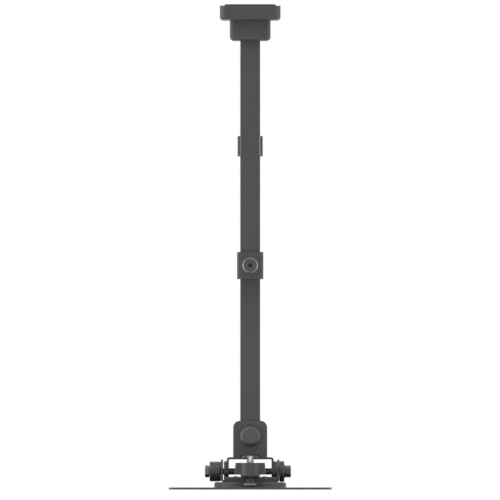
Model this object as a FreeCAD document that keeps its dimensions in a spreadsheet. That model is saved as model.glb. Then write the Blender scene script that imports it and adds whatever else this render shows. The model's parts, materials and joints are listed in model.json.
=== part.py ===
import FreeCAD, Part
import os
import re

import Sketcher

# A projector ceiling mount: two square tubes side by side that telescope, with a ceiling plate and its
# cover at the top, and a rolling yoke, a tilting bracket and a slotted projector plate at the bottom.
# Millimetres. The origin is the middle of the ceiling face, +Z is up and the front of the mount faces -Y.

SIZES = {
    # Square steel tubes, the upper one in front of the lower one
    "tube_side": 25.0,
    "tube_wall": 1.5,
    "tube_corner": 1.6,
    "tube_gap": 0.4,
    "slide_gap": 0.3,
    "plug_gap": 0.1,
    "plug_floor": 2.0,
    "plug_height": 6.0,
    # Ceiling plate and the socket welded under it
    "base_side": 64.0,
    "base_thickness": 3.0,
    "base_corner": 6.0,
    "base_hole_spacing": 50.0,
    "base_hole_radius": 2.75,
    "socket_gap": 0.2,
    "socket_wall": 3.0,
    "socket_height": 38.0,
    "cross_bolt_drop": 24.0,
    "cross_bolt_radius": 3.0,
    "cross_bolt_across": 10.0,
    "cross_head_height": 4.0,
    "cross_nut_height": 5.0,
    # Stepped ceiling cover
    "cover_drop": 1.9,
    "cover_side": 76.0,
    "cover_height": 17.5,
    "cover_edge": 4.0,
    "cover_corner_more": 4.5,
    "cover_wall": 2.0,
    "cover_gap": 0.4,
    "neck_side": 51.0,
    "neck_height": 25.8,
    "neck_edge": 5.0,
    "neck_corner_more": 0.4,
    # Collar at the foot of the upper tube, with its clamp screw
    "collar_drop": 310.1,
    "collar_height": 33.5,
    "collar_wall": 3.7,
    "collar_corner": 3.5,
    "clamp_washer_radius": 13.0,
    "clamp_washer_thickness": 1.2,
    "clamp_head_radius": 10.0,
    "clamp_head_height": 4.0,
    "clamp_head_chamfer": 1.5,
    "clamp_socket_across": 5.0,
    "clamp_socket_depth": 3.0,
    "clamp_tip_gap": 0.2,
    # Guide clip at the top of the lower tube
    "clip_drop": 164.8,
    "clip_height": 24.8,
    "clip_wall": 3.0,
    "clip_lip": 2.0,
    "clip_lip_land": 0.2,
    "clip_corner": 1.8,
    "clip_mouth": 22.2,
    "clip_screw_radius": 2.5,
    "clip_screw_pitch": 9.0,
    "clip_screw_below_middle": 3.0,
    "clip_head_radius": 4.75,
    "clip_head_height": 2.7,
    "nut_plate_width": 12.0,
    "nut_plate_height": 16.0,
    "nut_plate_thickness": 3.0,
    # M8 hardware that the two pivots and the clamp share
    "bolt_radius": 4.0,
    "bolt_across": 13.0,
    "head_height": 5.3,
    "nut_height": 6.5,
    "hex_chamfer": 1.0,
    "bolt_end": 1.5,
    "hole_gap": 0.2,
    "running_gap": 0.05,
    "washer_radius": 8.0,
    "washer_thickness": 1.6,
    # Roll pivot at the foot of the lower tube
    "pivot_drop": 540.7,
    "tube_below_pivot": 18.0,
    "sleeve_radius": 6.5,
    "friction_radius": 11.0,
    "friction_thickness": 1.0,
    "friction_play": 0.1,
    "cap_radius": 13.1,
    "cap_wall": 1.6,
    "cap_room": 1.0,
    "cap_edge": 5.5,
    # Folded yoke
    "yoke_sheet": 2.7,
    "ear_width": 42.6,
    "ear_rise": 19.5,
    "ear_corner": 8.8,
    "web_below_pivot": 26.3,
    "web_half_width": 29.5,
    "leg_width": 24.0,
    "leg_below_axle": 9.0,
    "leg_corner": 9.0,
    "yoke_bend": 3.7,
    "tab_width": 20.0,
    "tab_lift": 1.3,
    "tab_beyond_stud": 11.0,
    "tab_corner": 6.0,
    "notch_width": 1.6,
    "notch_height": 2.6,
    # Tilt axle and what sits on it
    "axle_below_pivot": 44.1,
    "left_spacer": 3.4,
    "right_spacer": 4.4,
    "face_gap": 0.1,
    "spacer_boss_gap": 0.6,
    "disc_radius": 13.1,
    "disc_thickness": 6.1,
    "disc_chamfer": 0.8,
    "axle_head_height": 6.3,
    "axle_washer_thickness": 2.0,
    "stop_nut_height": 5.7,
    "knob_radius": 12.5,
    "knob_length": 14.2,
    "knob_chamfer": 0.8,
    "insert_gap": 0.05,
    # Tilt bracket
    "bracket_sheet": 2.6,
    "upright_half_width": 15.0,
    "upright_rise": 15.3,
    "upright_corner": 12.0,
    "bracket_bend": 3.4,
    "base_half_depth": 22.0,
    "lip_height": 6.7,
    "lip_inset": 1.0,
    "lip_edge": 2.0,
    # Projector plate with its raised round boss
    "boss_below_axle": 13.5,
    "boss_radius": 45.0,
    "boss_height": 6.65,
    "boss_edge": 2.2,
    "boss_flare": 1.4,
    "plate_sheet": 2.65,
    "plate_side": 203.6,
    "plate_corner": 10.0,
    "slot_radius": 3.2,
    "diagonal_slot_from_boss": 21.0,
    "diagonal_slot_from_corner": 22.0,
    "straight_slot_from_boss": 27.0,
    "straight_slot_from_edge": 10.8,
    "plate_bolt_x": 18.0,
    "plate_bolt_y": 13.0,
    "plate_bolt_radius": 2.5,
    "plate_bolt_across": 8.0,
    "plate_nut_height": 4.0,
    "plate_head_radius": 4.5,
    "plate_head_height": 3.0,
    # Tilt adjuster in front of the boss
    "stud_ahead_of_axle": 58.4,
    "stud_radius": 4.8,
    "stud_above_tab": 0.2,
    "stud_end_gap": 0.4,
    "foot_rise": 3.7,
    "stud_chamfer": 0.8,
    "wing_below_web": 4.4,
    "hub_radius": 12.2,
    "hub_height": 20.2,
    "hub_chamfer": 3.5,
    "hub_floor": 0.9,
    "wing_top_half": 18.4,
    "wing_low_half": 19.5,
    "wing_height": 14.2,
    "wing_thickness": 8.0,
    "wing_corner": 2.0,
    "wing_neck_radius": 4.8,
    "wing_neck_length": 4.9,
    "spigot_radius": 3.0,
    "spigot_length": 3.0,
    "spigot_end_gap": 0.4,
    "foot_radius": 8.1,
    "foot_sphere_radius": 14.0,
    "foot_height": 5.3,
    "foot_shoulder": 1.6,
    "foot_shoulder_radius": 6.0,
    "foot_gap": 0.3,
}

doc = FreeCAD.newDocument("projector_mount")
sheet = doc.addObject("Spreadsheet::Sheet", "Sizes")
for row, (alias, number) in enumerate(SIZES.items(), start=1):
    sheet.set(f"A{row}", alias)
    sheet.set(f"B{row}", str(number))
    sheet.setAlias(f"B{row}", alias)
doc.recompute()

# Places worked out from the sizes: y runs from front to back, z is below the ceiling
HALF_TUBE = "(tube_side / 2)"
REAR_Y = "(tube_side + tube_gap)"
REAR_FRONT = f"({REAR_Y} - tube_side / 2)"
REAR_BACK = f"({REAR_Y} + tube_side / 2)"
UPPER_END_Z = "(-collar_drop - collar_height)"
SCREW_Z = "(-collar_drop - collar_height / 2)"
LOWER_TOP_Z = "(-clip_drop)"
CLIP_SCREW_Z = "(-clip_drop - clip_height / 2 - clip_screw_below_middle)"
PIVOT_Z = "(-pivot_drop)"
LOWER_END_Z = "(-pivot_drop - tube_below_pivot)"
WEB_TOP_Z = "(-pivot_drop - web_below_pivot)"
WEB_LOW_Z = f"({WEB_TOP_Z} - yoke_sheet)"
TAB_TOP_Z = f"({WEB_TOP_Z} + tab_lift)"
TAB_LOW_Z = f"({TAB_TOP_Z} - yoke_sheet)"
EAR_OFFSET = "(tube_side / 2 + friction_thickness + friction_play)"
EAR_FRONT = f"({REAR_Y} - {EAR_OFFSET} - yoke_sheet)"
EAR_BACK = f"({REAR_Y} + {EAR_OFFSET} + yoke_sheet)"
AXLE_Z = "(-pivot_drop - axle_below_pivot)"
UPRIGHT_INSIDE = "(web_half_width + right_spacer + face_gap)"
UPRIGHT_OUTSIDE = f"({UPRIGHT_INSIDE} + bracket_sheet)"
LIP_HALF = f"({UPRIGHT_INSIDE} - lip_inset)"
SPACER_RADIUS = "(boss_below_axle - spacer_boss_gap)"
BOSS_TOP_Z = f"({AXLE_Z} - boss_below_axle)"
FLANGE_TOP_Z = f"({BOSS_TOP_Z} - boss_height)"
STUD_Y = f"({REAR_Y} - stud_ahead_of_axle)"
HUB_TOP_Z = f"({WEB_LOW_Z} - wing_below_web)"
HUB_LOW_Z = f"({HUB_TOP_Z} - hub_height)"
NECK_LOW_Z = f"({HUB_LOW_Z} - wing_neck_length)"
SPIGOT_LOW_Z = f"({NECK_LOW_Z} - spigot_length)"
BORE_FLOOR_Z = f"({HUB_LOW_Z} + hub_floor)"
FOOT_LOW_Z = f"({FLANGE_TOP_Z} + foot_gap)"
FOOT_TOP_Z = f"({FOOT_LOW_Z} + foot_height)"
HOLE_RADIUS = "(bolt_radius + hole_gap)"
RUNNING_RADIUS = "(bolt_radius + running_gap)"

NODES = {}


def formula(text):
    """The text with each size name turned into a reference to its cell."""
    return re.sub(r"[a-z_]+", lambda word: "Sizes." + word[0] if word[0] in SIZES else word[0], text)


def amount(text):
    """What a formula comes to, as a plain number."""
    return float(sheet.evalExpression(formula(text)))


def bind(thing, prop, text):
    thing.setExpression(prop, formula(text))


def new_body(label):
    body = doc.addObject("PartDesign::Body", label)
    body.Label = label
    return body


def node(piece, label):
    """Keep a finished piece under the name of its node."""
    piece.Label = label
    NODES[label] = piece
    return piece


def sketch_on(body, plane, place, right="0", up="0"):
    """An empty sketch on one of the body's own planes, moved to place along that plane's axis."""
    sketch = body.newObject("Sketcher::SketchObject", body.Label + "_sketch")
    planes = {feature.Role: feature for feature in body.Origin.OriginFeatures}
    sketch.AttachmentSupport = [(planes[plane + "_Plane"], "")]
    sketch.MapMode = "FlatFace"
    sign = "-" if plane == "XZ" else ""
    bind(sketch, "AttachmentOffset.Base.x", right)
    bind(sketch, "AttachmentOffset.Base.y", up)
    bind(sketch, "AttachmentOffset.Base.z", f"{sign}({place})")
    return sketch


def constrain(sketch, kind, *where, text):
    """A dimension of a sketch, bound to a formula."""
    index = sketch.addConstraint(Sketcher.Constraint(kind, *where, amount(text)))
    bind(sketch, f"Constraints[{index}]", text)


def line(sketch, start, end):
    ends = FreeCAD.Vector(*start, 0), FreeCAD.Vector(*end, 0)
    return sketch.addGeometry(Part.LineSegment(*ends), False)


def arc(sketch, centre, radius, start_angle, end_angle):
    circle = Part.Circle(FreeCAD.Vector(*centre, 0), FreeCAD.Vector(0, 0, 1), radius)
    turn = FreeCAD.Units.Quantity("1 deg").getValueAs("rad").Value
    return sketch.addGeometry(Part.ArcOfCircle(circle, start_angle * turn, end_angle * turn), False)


def polygon(sketch, points):
    """A closed outline of straight lines."""
    corners = [(amount(x), amount(y)) for x, y in points]
    count = len(corners)
    lines = [line(sketch, corners[i], corners[(i + 1) % count]) for i in range(count)]
    for i, (x, y) in enumerate(points):
        sketch.addConstraint(Sketcher.Constraint("Coincident", lines[i - 1], 2, lines[i], 1))
        constrain(sketch, "DistanceX", lines[i], 1, text=x)
        constrain(sketch, "DistanceY", lines[i], 1, text=y)


def circle(sketch, x, y, radius):
    centre = FreeCAD.Vector(amount(x), amount(y), 0)
    ring = sketch.addGeometry(Part.Circle(centre, FreeCAD.Vector(0, 0, 1), amount(radius)), False)
    constrain(sketch, "Radius", ring, text=radius)
    constrain(sketch, "DistanceX", ring, 3, text=x)
    constrain(sketch, "DistanceY", ring, 3, text=y)


def circles(sketch, centres, radius):
    for x, y in centres:
        circle(sketch, x, y, radius)


def tangent_chain(sketch, pieces):
    """Join lines and arcs end to end, tangent, into a closed outline."""
    for i, piece in enumerate(pieces):
        sketch.addConstraint(Sketcher.Constraint("Tangent", pieces[i - 1], 2, piece, 1))


def rounded(sketch, x, y, width, height, radius):
    """A rectangle with round corners about the point x, y."""
    half_x = amount(f"({width}) / 2")
    half_y = amount(f"({height}) / 2")
    middle_x = amount(x)
    middle_y = amount(y)
    r = amount(radius)
    flat_x = half_x - r
    flat_y = half_y - r
    pieces = []
    for quarter, (side_x, side_y) in enumerate([(1, -1), (1, 1), (-1, 1), (-1, -1)]):
        centre = (middle_x + side_x * flat_x, middle_y + side_y * flat_y)
        if quarter % 2 == 0:
            start = (middle_x - side_x * flat_x, middle_y + side_y * half_y)
            end = (middle_x + side_x * flat_x, middle_y + side_y * half_y)
        else:
            start = (middle_x + side_x * half_x, middle_y - side_y * flat_y)
            end = (middle_x + side_x * half_x, middle_y + side_y * flat_y)
        pieces.append(line(sketch, start, end))
        pieces.append(arc(sketch, centre, r, 90 * quarter - 90, 90 * quarter))
    tangent_chain(sketch, pieces)
    lines = pieces[0::2]
    arcs = pieces[1::2]
    for i, side in enumerate(lines):
        sketch.addConstraint(Sketcher.Constraint("Horizontal" if i % 2 == 0 else "Vertical", side))
    for corner in arcs[1:]:
        sketch.addConstraint(Sketcher.Constraint("Equal", arcs[0], corner))
    constrain(sketch, "Radius", arcs[0], text=radius)
    constrain(sketch, "DistanceX", arcs[0], 3, text=f"({x}) + ({width}) / 2 - ({radius})")
    constrain(sketch, "DistanceY", arcs[0], 3, text=f"({y}) - ({height}) / 2 + ({radius})")
    constrain(sketch, "DistanceX", arcs[2], 3, text=f"({x}) - ({width}) / 2 + ({radius})")
    constrain(sketch, "DistanceY", arcs[2], 3, text=f"({y}) + ({height}) / 2 - ({radius})")


def slot(sketch, start, end, radius):
    """A slot with round ends along the sketch's x axis, from one end's centre to the other's."""
    r = amount(radius)
    low = amount(start)
    high = amount(end)
    pieces = [line(sketch, (low, -r), (high, -r)), arc(sketch, (high, 0), r, -90, 90)]
    pieces += [line(sketch, (high, r), (low, r)), arc(sketch, (low, 0), r, 90, 270)]
    tangent_chain(sketch, pieces)
    sketch.addConstraint(Sketcher.Constraint("Equal", pieces[1], pieces[3]))
    constrain(sketch, "Radius", pieces[1], text=radius)
    for piece, place in [(pieces[1], end), (pieces[3], start)]:
        constrain(sketch, "DistanceX", piece, 3, text=place)
        constrain(sketch, "DistanceY", piece, 3, text="0")


def extrude(kind, body, plane, low, high, draw, *measures):
    """A Pad or Pocket of an outline between two places along the plane's axis."""
    before = 0.0 if body.Tip is None else body.Shape.Volume
    sketch = sketch_on(body, plane, f"(({low}) + ({high})) / 2")
    draw(sketch, *measures)
    feature = body.newObject("PartDesign::" + kind, f"{body.Label}_{kind}")
    feature.Profile = sketch
    feature.SideType = "Symmetric"
    bind(feature, "Length", f"({high}) - ({low})")
    doc.recompute()
    if (body.Shape.Volume > before) != (kind == "Pad"):
        raise ValueError(f"{body.Label}: a {kind} changed nothing")
    return feature


def pad(body, plane, low, high, draw, *measures):
    return extrude("Pad", body, plane, low, high, draw, *measures)


def pocket(body, plane, low, high, draw, *measures):
    return extrude("Pocket", body, plane, low, high, draw, *measures)


def revolve(body, axis, centre, points, kind="Revolution"):
    """A turned form, or a Groove, from (place along the axis, radius) points about one of three axes."""
    first, second = centre
    if axis == "X":
        sketch = sketch_on(body, "XZ", first, up=second)
    elif axis == "Y":
        sketch = sketch_on(body, "YZ", first, up=second)
    else:
        sketch = sketch_on(body, "XZ", second, right=first)
    outline = [(radius, place) for place, radius in points] if axis == "Z" else points
    polygon(sketch, outline)
    feature = body.newObject("PartDesign::" + kind, f"{body.Label}_{kind}")
    feature.Profile = sketch
    feature.ReferenceAxis = (sketch, ["V_Axis" if axis == "Z" else "H_Axis"])
    feature.Angle = 360.0
    doc.recompute()
    return feature


def turned(label, axis, centre, points):
    body = new_body(label)
    revolve(body, axis, centre, points)
    return body


def ring(label, axis, centre, low, high, bore, radius):
    """A flat washer, spacer or sleeve."""
    return turned(label, axis, centre, [(low, bore), (high, bore), (high, radius), (low, radius)])


def drum(label, axis, centre, low, high, radius):
    """A plain cylinder, such as a hole is cut with."""
    return turned(label, axis, centre, [(low, "0"), (high, "0"), (high, radius), (low, radius)])


def rod(label, axis, centre, low, high, radius, chamfer="hex_chamfer"):
    """A plain shaft with a chamfer at its high end."""
    shoulder = f"({high}) - ({chamfer})"
    neck = f"({radius}) - ({chamfer})"
    points = [(low, "0"), (high, "0"), (high, neck), (shoulder, radius), (low, radius)]
    return turned(label, axis, centre, points)


def dress(body, kind, size, pick):
    """Round or chamfer the body's edges that pick chooses."""
    tip = body.Tip
    names = [f"Edge{i}" for i, edge in enumerate(tip.Shape.Edges, start=1) if pick(edge)]
    if not names:
        raise ValueError(f"{body.Label}: no edge to dress")
    feature = body.newObject("PartDesign::" + kind, f"{body.Label}_{kind}")
    feature.Base = (tip, names)
    bind(feature, "Radius" if kind == "Fillet" else "Size", size)
    doc.recompute()
    return feature


def on_edge(x=None, y=None, z=None, mirror=False):
    """A test for edges whose ends all lie at the places given; mirror takes plus and minus x."""
    wanted = {0: x, 1: y, 2: z}
    wanted = {axis: amount(text) for axis, text in wanted.items() if text is not None}

    def matches(edge):
        side = -1 if mirror and edge.Vertexes[0].X < 0 else 1
        for vertex in edge.Vertexes:
            found = (side * vertex.X, vertex.Y, vertex.Z)
            if any(abs(found[axis] - place) > 0.001 for axis, place in wanted.items()):
                return False
        return True

    return matches


TURNS = {
    "X": FreeCAD.Rotation(FreeCAD.Vector(0, 1, 0), 90),
    "Y": FreeCAD.Rotation(FreeCAD.Vector(1, 0, 0), -90),
    "Z": FreeCAD.Rotation(),
}


def hex_prism(label, axis, centre, low, high, across):
    prism = doc.addObject("Part::Prism", label)
    prism.Polygon = 6
    prism.Placement = FreeCAD.Placement(FreeCAD.Vector(), TURNS[axis])
    bind(prism, "Circumradius", f"({across}) / sqrt(3)")
    bind(prism, "Height", f"({high}) - ({low})")
    first, second = centre
    bases = {"X": (low, first, second), "Y": (first, low, second), "Z": (first, second, low)}
    for name, place in zip("xyz", bases[axis]):
        bind(prism, "Placement.Base." + name, place)
    return prism


def hexagon(label, axis, centre, low, high, across, bevel_low=True, bevel_high=True):
    """A hexagon with the round bevels that bolt heads and nuts have on their corners."""
    corner = f"({across}) / sqrt(3)"
    flat = f"0.95 * ({across}) / 2"
    rise = f"(({corner}) - ({flat})) * tan(30)"
    points = [(low, "0"), (high, "0")]
    points += [(high, flat), (f"({high}) - ({rise})", corner)] if bevel_high else [(high, corner)]
    points += [(f"({low}) + ({rise})", corner), (low, flat)] if bevel_low else [(low, corner)]
    barrel = turned(label + "_barrel", axis, centre, points)
    prism = hex_prism(label + "_prism", axis, centre, low, high, across)
    both = doc.addObject("Part::MultiCommon", label)
    both.Shapes = [prism, barrel]
    return both


def fuse(label, pieces):
    joined = doc.addObject("Part::MultiFuse", label)
    joined.Shapes = pieces
    joined.Refine = True
    return joined


def cut(label, base, tool):
    result = doc.addObject("Part::Cut", label)
    result.Base = base
    result.Tool = tool
    return result


def group(label, pieces):
    together = doc.addObject("Part::Compound", label)
    together.Links = pieces
    return together


def hex_bolt(label, axis, centre, low, high, end, across, radius):
    """A bolt with its head between low and high and its shank from the head to end."""
    head = hexagon(label + "_head", axis, centre, low, high, across)
    if amount(end) > amount(high):
        shank = rod(label + "_shank", axis, centre, high, end, radius)
    else:
        points = [(low, "0"), (low, radius), (f"({end}) + hex_chamfer", radius)]
        points += [(end, f"({radius}) - hex_chamfer"), (end, "0")]
        shank = turned(label + "_shank", axis, centre, points)
    return fuse(label, [head, shank])


def hex_nut(label, axis, centre, low, high, across, bore):
    block = hexagon(label + "_block", axis, centre, low, high, across)
    hole = drum(label + "_hole", axis, centre, low, high, bore)
    return cut(label, block, hole)


def square_tube(label, y, low, high):
    tube = new_body(label)
    inside = "tube_side - 2 * tube_wall"
    pad(tube, "XY", low, high, rounded, "0", y, "tube_side", "tube_side", "tube_corner")
    pocket(tube, "XY", low, high, rounded, "0", y, inside, inside, "max(tube_corner - tube_wall; 0.1)")
    return tube


def tube_plug(label, y, floor_low, floor_high, open_low, open_high):
    """A moulded cup that closes the end of a tube from inside."""
    side = "tube_side - 2 * tube_wall - 2 * plug_gap"
    hollow = f"{side} - 2 * plug_floor"
    plug = new_body(label)
    low = f"min({floor_low}; {open_low})"
    high = f"max({floor_high}; {open_high})"
    pad(plug, "XY", low, high, rounded, "0", y, side, side, "plug_floor / 4")
    pocket(plug, "XY", open_low, open_high, rounded, "0", y, hollow, hollow, "plug_floor / 4")
    return node(plug, label)


def make_ceiling_plate():
    plate = new_body("ceiling_plate")
    inner = "tube_side + 2 * socket_gap"
    outer = f"{inner} + 2 * socket_wall"
    low = "-base_thickness - socket_height"
    pad(plate, "XY", "-base_thickness", "0", rounded, "0", "0", "base_side", "base_side", "base_corner")
    pad(plate, "XY", low, "-base_thickness", rounded, "0", "0", outer, outer, "socket_wall")
    pocket(plate, "XY", low, "-base_thickness", rounded, "0", "0", inner, inner, "tube_corner")
    reach = "base_hole_spacing / 2"
    corners = [(reach, reach), (f"-{reach}", reach), (reach, f"-{reach}"), (f"-{reach}", f"-{reach}")]
    pocket(plate, "XY", "-base_thickness", "0", circles, corners, "base_hole_radius")
    hole = "cross_bolt_radius + hole_gap"
    pocket(plate, "YZ", f"-({outer})", outer, circle, "0", "-cross_bolt_drop", hole)
    return node(plate, "ceiling_plate")


def make_socket_bolt():
    side = "(tube_side / 2 + socket_gap + socket_wall)"
    centre = ("0", "-cross_bolt_drop")
    end = f"{side} + cross_nut_height + hex_chamfer"
    nut_end = f"{side} + cross_nut_height"
    bolt = hex_bolt("socket_bolt", "X", centre, f"-{side} - cross_head_height", f"-{side}", end,
                    "cross_bolt_across", "cross_bolt_radius")
    nut = hex_nut("socket_nut", "X", centre, side, nut_end, "cross_bolt_across",
                  "cross_bolt_radius + running_gap")
    node(bolt, "socket_bolt")
    node(nut, "socket_nut")


def make_ceiling_cover():
    """A stepped, hollow cover whose upright corners are rounder than its lower edges."""
    cover = new_body("ceiling_cover")
    top = "-cover_drop"
    step = f"({top} - cover_height)"
    low = f"({step} - neck_height)"
    hole = "tube_side + 2 * cover_gap"
    box_corner = "(cover_edge + cover_corner_more)"
    neck_corner = "(neck_edge + neck_corner_more)"
    pad(cover, "XY", step, top, rounded, "0", "0", "cover_side", "cover_side", box_corner)
    dress(cover, "Fillet", "cover_edge", on_edge(z=step))
    pad(cover, "XY", low, step, rounded, "0", "0", "neck_side", "neck_side", neck_corner)
    dress(cover, "Fillet", "neck_edge", on_edge(z=low))
    rooms = [("cover_side", box_corner, "cover_edge", step, top),
             ("neck_side", neck_corner, "neck_edge", low, f"{step} + cover_wall")]
    for side, corner, edge, floor, ceiling in rooms:
        width = f"{side} - 2 * cover_wall"
        pocket(cover, "XY", f"{floor} + cover_wall", ceiling, rounded, "0", "0", width, width,
               f"{corner} - cover_wall")
        dress(cover, "Fillet", f"{edge} - cover_wall", on_edge(z=f"{floor} + cover_wall"))
    pocket(cover, "XY", low, f"{low} + cover_wall", rounded, "0", "0", hole, hole, "tube_corner + cover_gap")
    return node(cover, "ceiling_cover")


def make_upper_tube():
    tube = square_tube("upper_tube", "0", UPPER_END_Z, "-base_thickness")
    cross = "cross_bolt_radius + hole_gap"
    pocket(tube, "YZ", "-tube_side", "tube_side", circle, "0", "-cross_bolt_drop", cross)
    pocket(tube, "XZ", "-tube_side", "tube_side", circle, "0", SCREW_Z, HOLE_RADIUS)
    node(tube, "upper_tube")
    tube_plug("upper_tube_plug", "0", UPPER_END_Z, f"{UPPER_END_Z} + plug_floor",
              f"{UPPER_END_Z} + plug_floor", f"{UPPER_END_Z} + plug_height")


def sleeve_outline(wall, front_wall):
    """Middle y, width and depth of a sleeve round both tubes, with a wall of its own in front."""
    front = f"({HALF_TUBE} + slide_gap + {front_wall})"
    back = f"({REAR_BACK} + slide_gap + {wall})"
    return f"({back} - {front}) / 2", f"tube_side + 2 * slide_gap + 2 * {wall}", f"{back} + {front}"


def make_collar():
    collar = new_body("collar")
    top = "-collar_drop"
    middle, width, depth = sleeve_outline("collar_wall", "collar_wall")
    pad(collar, "XY", UPPER_END_Z, top, rounded, "0", middle, width, depth, "collar_corner")
    middle, width, depth = sleeve_outline("0", "0")
    pocket(collar, "XY", UPPER_END_Z, top, rounded, "0", middle, width, depth, "tube_corner")
    pocket(collar, "XZ", "-tube_side - collar_wall", "0", circle, "0", SCREW_Z, HOLE_RADIUS)
    return node(collar, "collar")


def make_clamp_screw():
    centre = ("0", SCREW_Z)
    face = f"(-{HALF_TUBE} - slide_gap - collar_wall)"
    seat = f"({face} - clamp_washer_thickness)"
    front = f"({seat} - clamp_head_height)"
    tip = f"({REAR_FRONT} - clamp_tip_gap)"
    washer = ring("clamp_washer", "Y", centre, seat, face, HOLE_RADIUS, "clamp_washer_radius")
    node(washer, "clamp_washer")
    rim = "clamp_head_radius - clamp_head_chamfer"
    shoulder = f"{front} + clamp_head_chamfer"
    solid = turned("clamp_screw_solid", "Y", centre, [
        (front, "0"), (tip, "0"), (tip, "bolt_radius - hex_chamfer"), (f"{tip} - hex_chamfer", "bolt_radius"),
        (seat, "bolt_radius"), (seat, "clamp_head_radius"), (shoulder, "clamp_head_radius"), (front, rim)])
    key_floor = f"{front} + clamp_socket_depth"
    key = hex_prism("clamp_screw_key", "Y", centre, front, key_floor, "clamp_socket_across")
    node(cut("clamp_screw", solid, key), "clamp_screw")
    inner = f"({HALF_TUBE} - tube_wall)"
    nut = hex_nut("clamp_nut", "Y", centre, f"{inner} - nut_height", inner, "bolt_across", RUNNING_RADIUS)
    node(nut, "clamp_nut")


def make_lower_tube():
    tube = square_tube("lower_tube", REAR_Y, LOWER_END_Z, LOWER_TOP_Z)
    pocket(tube, "XZ", "0", f"2 * {REAR_Y}", circle, "0", PIVOT_Z, RUNNING_RADIUS)
    pocket(tube, "XZ", REAR_Y, f"2 * {REAR_Y}", circles, clip_screw_places(), "clip_screw_radius + hole_gap")
    node(tube, "lower_tube")
    tube_plug("lower_top_plug", REAR_Y, f"{LOWER_TOP_Z} - plug_floor", LOWER_TOP_Z,
              f"{LOWER_TOP_Z} - plug_height", f"{LOWER_TOP_Z} - plug_floor")
    tube_plug("lower_end_plug", REAR_Y, LOWER_END_Z, f"{LOWER_END_Z} + plug_floor",
              f"{LOWER_END_Z} + plug_floor", f"{LOWER_END_Z} + plug_height")
    inside = "(tube_side / 2 - tube_wall)"
    sleeve = ring("pivot_sleeve", "Y", ("0", PIVOT_Z), f"{REAR_Y} - {inside}", f"{REAR_Y} + {inside}",
                  RUNNING_RADIUS, "sleeve_radius")
    node(sleeve, "pivot_sleeve")


def clip_screw_places():
    return [("0", f"{CLIP_SCREW_Z} {side} clip_screw_pitch / 2") for side in "+-"]


def make_guide_clip():
    clip = new_body("guide_clip")
    low = f"{LOWER_TOP_Z} - clip_height"
    middle, width, depth = sleeve_outline("clip_wall", "clip_lip")
    pad(clip, "XY", low, LOWER_TOP_Z, rounded, "0", middle, width, depth, "clip_corner")
    middle, width, depth = sleeve_outline("0", "0")
    pocket(clip, "XY", low, LOWER_TOP_Z, rounded, "0", middle, width, depth, "tube_corner / 2")
    mouth = f"-{HALF_TUBE} - slide_gap - clip_lip"
    pocket(clip, "XZ", mouth, f"-{HALF_TUBE}", polygon, [
        ("-clip_mouth / 2", low), ("clip_mouth / 2", low),
        ("clip_mouth / 2", LOWER_TOP_Z), ("-clip_mouth / 2", LOWER_TOP_Z)])
    dress(clip, "Chamfer", "clip_lip - clip_lip_land", on_edge(x="clip_mouth / 2", y=mouth, mirror=True))
    pocket(clip, "XZ", REAR_Y, f"2 * {REAR_Y}", circles, clip_screw_places(), "clip_screw_radius + hole_gap")
    return node(clip, "guide_clip")


def make_clip_fasteners():
    seat = f"({REAR_BACK} + slide_gap + clip_wall)"
    crown = f"{seat} + clip_head_height"
    inner = f"({REAR_BACK} - tube_wall)"
    tip = f"({inner} - nut_plate_thickness)"
    screws = []
    for x, z in clip_screw_places():
        screws.append(turned("clip_screw", "Y", (x, z), [
            (tip, "0"), (crown, "0"), (crown, "clip_head_radius / 2"),
            (f"{seat} + clip_head_height / 3", "clip_head_radius"), (seat, "clip_head_radius"),
            (seat, "clip_screw_radius"), (tip, "clip_screw_radius")]))
    node(group("clip_screws", screws), "clip_screws")
    plate = new_body("clip_nut_plate")
    pad(plate, "XZ", tip, inner, rounded, "0", CLIP_SCREW_Z, "nut_plate_width", "nut_plate_height",
        "nut_plate_thickness / 2")
    pocket(plate, "XZ", tip, inner, circles, clip_screw_places(), "clip_screw_radius + running_gap")
    node(plate, "clip_nut_plate")


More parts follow.
